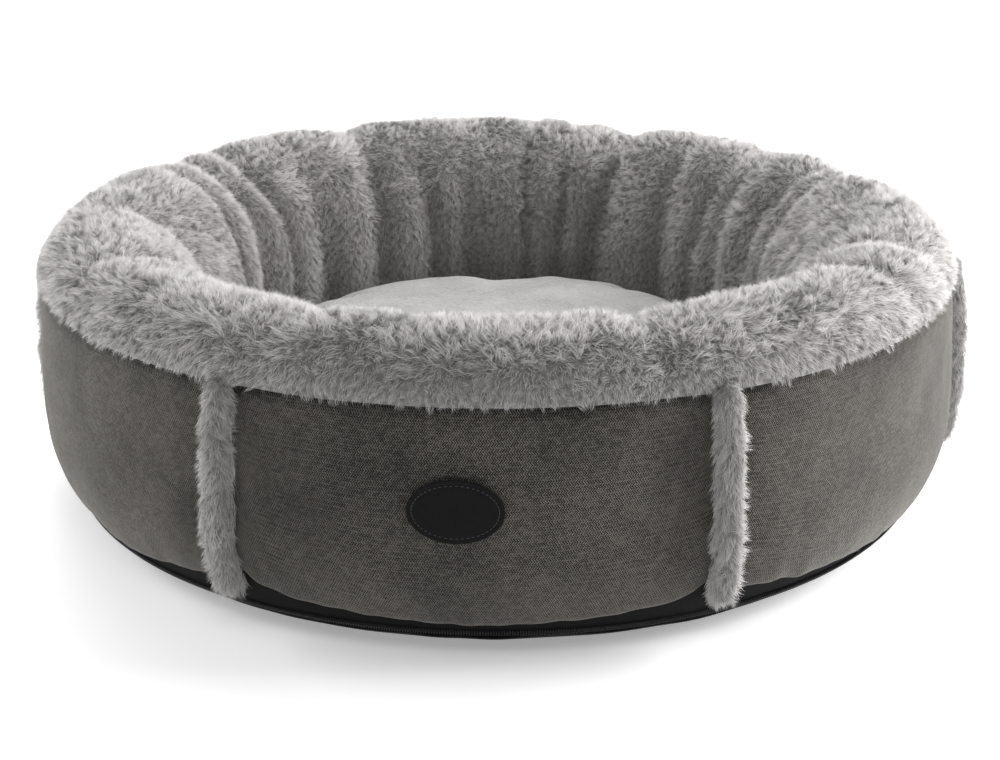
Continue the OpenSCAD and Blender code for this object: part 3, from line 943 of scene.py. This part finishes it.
keep_modifier(label, "BEVEL", width=0.4 * MM, segments=3, limit_method="ANGLE", angle_limit=math.radians(50))
for point in label.data.vertices:
    point.co = on_label(point.co.x, point.co.y, point.co.z + 1.0 * MM)
only(label)
bpy.ops.object.shade_smooth_by_angle(angle=math.radians(50))
dress(label, leather_paint)
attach(label, "cover")
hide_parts("label_patch")

thread_paint, thread_shader, start = material("label_thread", 0.6)
place = object_coords(start)
twist = noise_of(start, place, 2500, 2)
colour_of(thread_shader, twist.mix((0.018, 0.018, 0.019), (0.05, 0.05, 0.052)))
half_w, half_h = label_w / 2 - STITCH_INSET, label_h / 2 - STITCH_INSET
stitch_count = round(math.pi * (half_w + half_h) / STITCH_PITCH)
bpy.ops.object.select_all(action="DESELECT")
bpy.ops.mesh.primitive_uv_sphere_add(segments=8, ring_count=6, radius=1)
stitch = bpy.context.object
stitches = []
for i in range(stitch_count):
    around = math.tau * i / stitch_count
    one = stitch.copy()
    one.data = stitch.data.copy()
    bpy.context.scene.collection.objects.link(one)
    along = Vector((-half_w * math.sin(around), half_h * math.cos(around), 0)).normalized()
    aside = Vector((-along.y, along.x, 0))
    for point in one.data.vertices:
        flat_place = along * point.co.x * STITCH_LONG + aside * point.co.y * STITCH_WIDE
        point.co = on_label(half_w * math.cos(around) + flat_place.x,
                            half_h * math.sin(around) + flat_place.y, 0.95 * MM + STITCH_HIGH * point.co.z)
    stitches.append(one)
bpy.data.objects.remove(stitch)
bpy.ops.object.select_all(action="DESELECT")
for one in stitches:
    one.select_set(True)
bpy.context.view_layer.objects.active = stitches[0]
bpy.ops.object.join()
thread = bpy.context.object
thread.name = "label_thread"
smooth(thread)
dress(thread, thread_paint)
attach(thread, "cover")
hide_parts("label_stitching")


# Bolster. A thin white bag of non-woven cloth, filled with loose polyester fibre, inside the ring.
RING_SHARE = 0.86


def bolster(name, wall_depth, nest_depth, floor_z, finish, lump):
    """A closed ring inside the bed's form. Past RING_SHARE of its cut it runs back under the ring."""
    ring = cut_cloth(name, math.tau * bed_r, s_end, 240, 60)

    def place(u, v):
        turn = math.tau * u
        share = min(v / RING_SHARE, 1.0)
        s = s_end * share
        depth = wall_depth + (nest_depth - wall_depth) * smooth_step(s, s_seam - 20 * MM, s_seam + 40 * MM)
        spot = on_bed(turn, s, -depth)
        spot = on_bed(turn, s, -depth - lump * (1 + soft_noise(spot, 45 * MM, 14)))
        if v > RING_SHARE:
            inner, outer = on_bed(turn, s_end, -nest_depth), on_bed(turn, 0, 0)
            spot = inner.lerp(outer, (v - RING_SHARE) / (1 - RING_SHARE))
            spot.z = floor_z
        spot.z = max(spot.z, floor_z)
        return spot

    lay(ring, place)
    edit(ring, lambda: bpy.ops.mesh.remove_doubles(threshold=0.05 * MM),
         lambda: bpy.ops.mesh.normals_make_consistent(inside=False))
    smooth(ring)
    dress(ring, finish)
    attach(ring, "cover")
    return ring


bag_paint, bag_shader, start = material("bag_cloth", 0.85)
place = object_coords(start)
felt = noise_of(start, place, 500, 3)
colour_of(bag_shader, felt.mix((0.62, 0.62, 0.61), (0.78, 0.78, 0.77)))
bump_of(bag_shader, felt, 0.5 * MM)
fibre_paint, fibre_shader, start = material("fibre", 0.95)
place = object_coords(start)
fluff = noise_of(start, place, 220, 6, 0.7)
colour_of(fibre_shader, fluff.mix((0.72, 0.72, 0.71), (0.88, 0.88, 0.87)))
bump_of(fibre_shader, fluff, 3 * MM)
bag = bolster("bolster_bag_cloth", 7 * MM, 34 * MM, 4 * MM, bag_paint, 1 * MM)
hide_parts("bolster_bag")
fibre = bolster("bolster_fibre", 9.5 * MM, 36.5 * MM, 6.5 * MM, fibre_paint, 1 * MM)
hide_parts("bolster_fill")


# Nest floor. A round of plain dark lining cloth under the cushion, sewn to the plush's lower edge.
liner_paint, liner_shader, start = material("liner_cloth", 0.85)
THREADS = 900
place = object_coords(start)
warp, weft = (start.math("SINE", start.node("SeparateXYZ", {}, {0: place}, out=way) * (math.tau * THREADS))
              for way in (0, 1))
grid = warp * weft * 0.5 + 0.5
colour_of(liner_shader, grid.mix((0.020, 0.020, 0.021), (0.040, 0.040, 0.041)))
bump_of(liner_shader, grid, 0.2 * MM)
liner_r = nest_r + 6 * MM
bpy.ops.object.select_all(action="DESELECT")
bpy.ops.mesh.primitive_circle_add(vertices=128, radius=liner_r, fill_type="NGON",
                                  location=(0, 0, floor_top - 1.0 * MM))
liner = bpy.context.object
liner.name = "nest_floor_cloth"
bpy.ops.object.transform_apply(location=True, rotation=True, scale=True)
edit(liner, *[lambda: bpy.ops.mesh.inset(thickness=14 * MM)] * 13, lambda: bpy.ops.mesh.poke())
for point in liner.data.vertices:
    point.co.z += 0.4 * MM * soft_noise(point.co, 30 * MM, 15)
keep_modifier(liner, "SOLIDIFY", thickness=1.0 * MM, offset=0)
smooth(liner)
dress(liner, liner_paint)
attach(liner, "cover")
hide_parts("floor_liner")


# Cushion. A round, crowned pad of loose fibre in a short-pile velour cover with a plain underside.
# The two rounds are sewn together inside out, so a seam runs round its side.
cushion_low, cushion_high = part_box("cushion_cover_bottom")[0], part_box("cushion_cover_top")[1]
seam_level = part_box("cushion_cover_top")[0].z
pad_r, pad_bottom, pad_top = cushion_high.x, cushion_low.z, cushion_high.z
PAD_PLAY = 5 * MM
CROWN, MOST_BLOWN = 14 * MM, 7 * MM

bpy.ops.object.select_all(action="DESELECT")
bpy.ops.mesh.primitive_uv_sphere_add(segments=128, ring_count=64, radius=1)
pad = bpy.context.object
pad.name = "cushion_form"
for point in pad.data.vertices:
    flat_r = math.hypot(point.co.x, point.co.y)
    if flat_r > 1e-6:
        point.co.xy *= (pad_r - PAD_PLAY) * flat_r ** 0.25 / flat_r
    rise = pad_top - seam_level - PAD_PLAY if point.co.z > 0 else seam_level - pad_bottom - PAD_PLAY * 0.4
    crown = 5 * MM * (1 - flat_r ** 0.5) if point.co.z > 0 else 0
    point.co.z = seam_level + crown + rise * math.copysign(abs(point.co.z) ** 0.3, point.co.z)
only(pad)
pad.data.remesh_voxel_size = 5.5 * MM
bpy.ops.object.voxel_remesh()
start_points = [point.co.copy() for point in pad.data.vertices]
blown = pad.modifiers.new("cloth", "CLOTH")
blown.settings.use_pressure = True
blown.settings.uniform_pressure_force = 4
blown.settings.effector_weights.gravity = 0
blown.point_cache.frame_start, blown.point_cache.frame_end = 1, 20
for step in range(1, 21):
    bpy.context.scene.frame_set(step)
only(pad)
bpy.ops.object.modifier_apply(modifier=blown.name)
bpy.context.scene.frame_set(1)
for point, was in zip(pad.data.vertices, start_points):
    moved = point.co - was
    if moved.length > MOST_BLOWN:
        point.co = was + moved.normalized() * MOST_BLOWN
keep_modifier(pad, "SUBSURF", levels=1, render_levels=1)
keep_modifier(pad, "SMOOTH", factor=0.6, iterations=24)
full_r = max(point.co.xy.length for point in pad.data.vertices)
full_low, full_high = (pick(point.co.z for point in pad.data.vertices) for pick in (min, max))
for point in pad.data.vertices:
    point.co.xy *= (pad_r + 1 * MM) / full_r
    share = (point.co.z - full_low) / (full_high - full_low)
    point.co.z = pad_bottom + (pad_top + CROWN - pad_bottom) * share
for point in pad.data.vertices:
    dent = 0.6 * MM * soft_noise(point.co, 70 * MM, 16) + 0.35 * MM * soft_noise(point.co, 18 * MM, 17)
    pinch = 3.5 * MM * math.exp(-((point.co.z - seam_level) / (5 * MM)) ** 2)
    gathers = 1.2 * MM * soft_noise((math.atan2(point.co.x, point.co.y) * pad_r, 0, 0), 9 * MM, 18)
    gathers *= math.exp(-abs(point.co.z - seam_level) / (14 * MM))
    flat_r = point.co.xy.length
    if flat_r > 1e-6:
        grown = min(flat_r - pinch + gathers, pad_r + 1.5 * MM)
        point.co.xy *= grown / flat_r
    point.co.z = min(max(point.co.z + dent, pad_bottom + 0.2 * MM), pad_top + CROWN + 1 * MM)
smooth(pad)

velour_paint, velour_shader, start = material("cushion_velour", 0.85, Sheen_Weight=0.35, Sheen_Roughness=0.4)
place = object_coords(start)
# Large patches of brushed nap, partly real and partly painted sheen, lighter and darker, over a fine mottle of
# nap.
brushed_nap_and_sheen = noise_of(start, place, 28, 4, 0.65)
nap = noise_of(start, place, 420, 4, 0.7)
shade = brushed_nap_and_sheen * 0.6 + nap * 0.6
colour_of(velour_shader, shade.between(0.35, 0.85).mix((0.225, 0.217, 0.209), (0.43, 0.422, 0.41)))
bump_of(velour_shader, nap * 0.8 + brushed_nap_and_sheen * 0.6, 1.6 * MM)
under_paint, under_shader, start = material("cushion_under", 0.85)
place = object_coords(start)
plain = noise_of(start, place, 700, 3)
colour_of(under_shader, plain.mix((0.20, 0.195, 0.19), (0.31, 0.305, 0.295)))
bump_of(under_shader, plain, 0.4 * MM)

for name, keep_above, finish, slot_name in (("cushion_cover_top", True, velour_paint, "cushion_velour"),
                                            ("cushion_cover_bottom", False, under_paint, "cushion_under")):
    cover = pad.copy()
    cover.data = pad.data.copy()
    cover.name = cover.data.name = f"{name}_cloth"
    bpy.context.scene.collection.objects.link(cover)
    edit(cover, lambda: bpy.ops.mesh.bisect(
        plane_co=(0, 0, seam_level), plane_no=(0, 0, 1), clear_inner=keep_above, clear_outer=not keep_above))
    dress(cover, finish)
    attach(cover, "cushion")
    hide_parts(name)

pad_middle = Vector((0, 0, seam_level))
for point in pad.data.vertices:
    point.co = pad_middle + (point.co - pad_middle) * 0.955
keep_modifier(pad, "DECIMATE", ratio=0.25)
pad.name = "cushion_fibre"
dress(pad, fibre_paint)
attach(pad, "cushion")
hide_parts("cushion_fill")
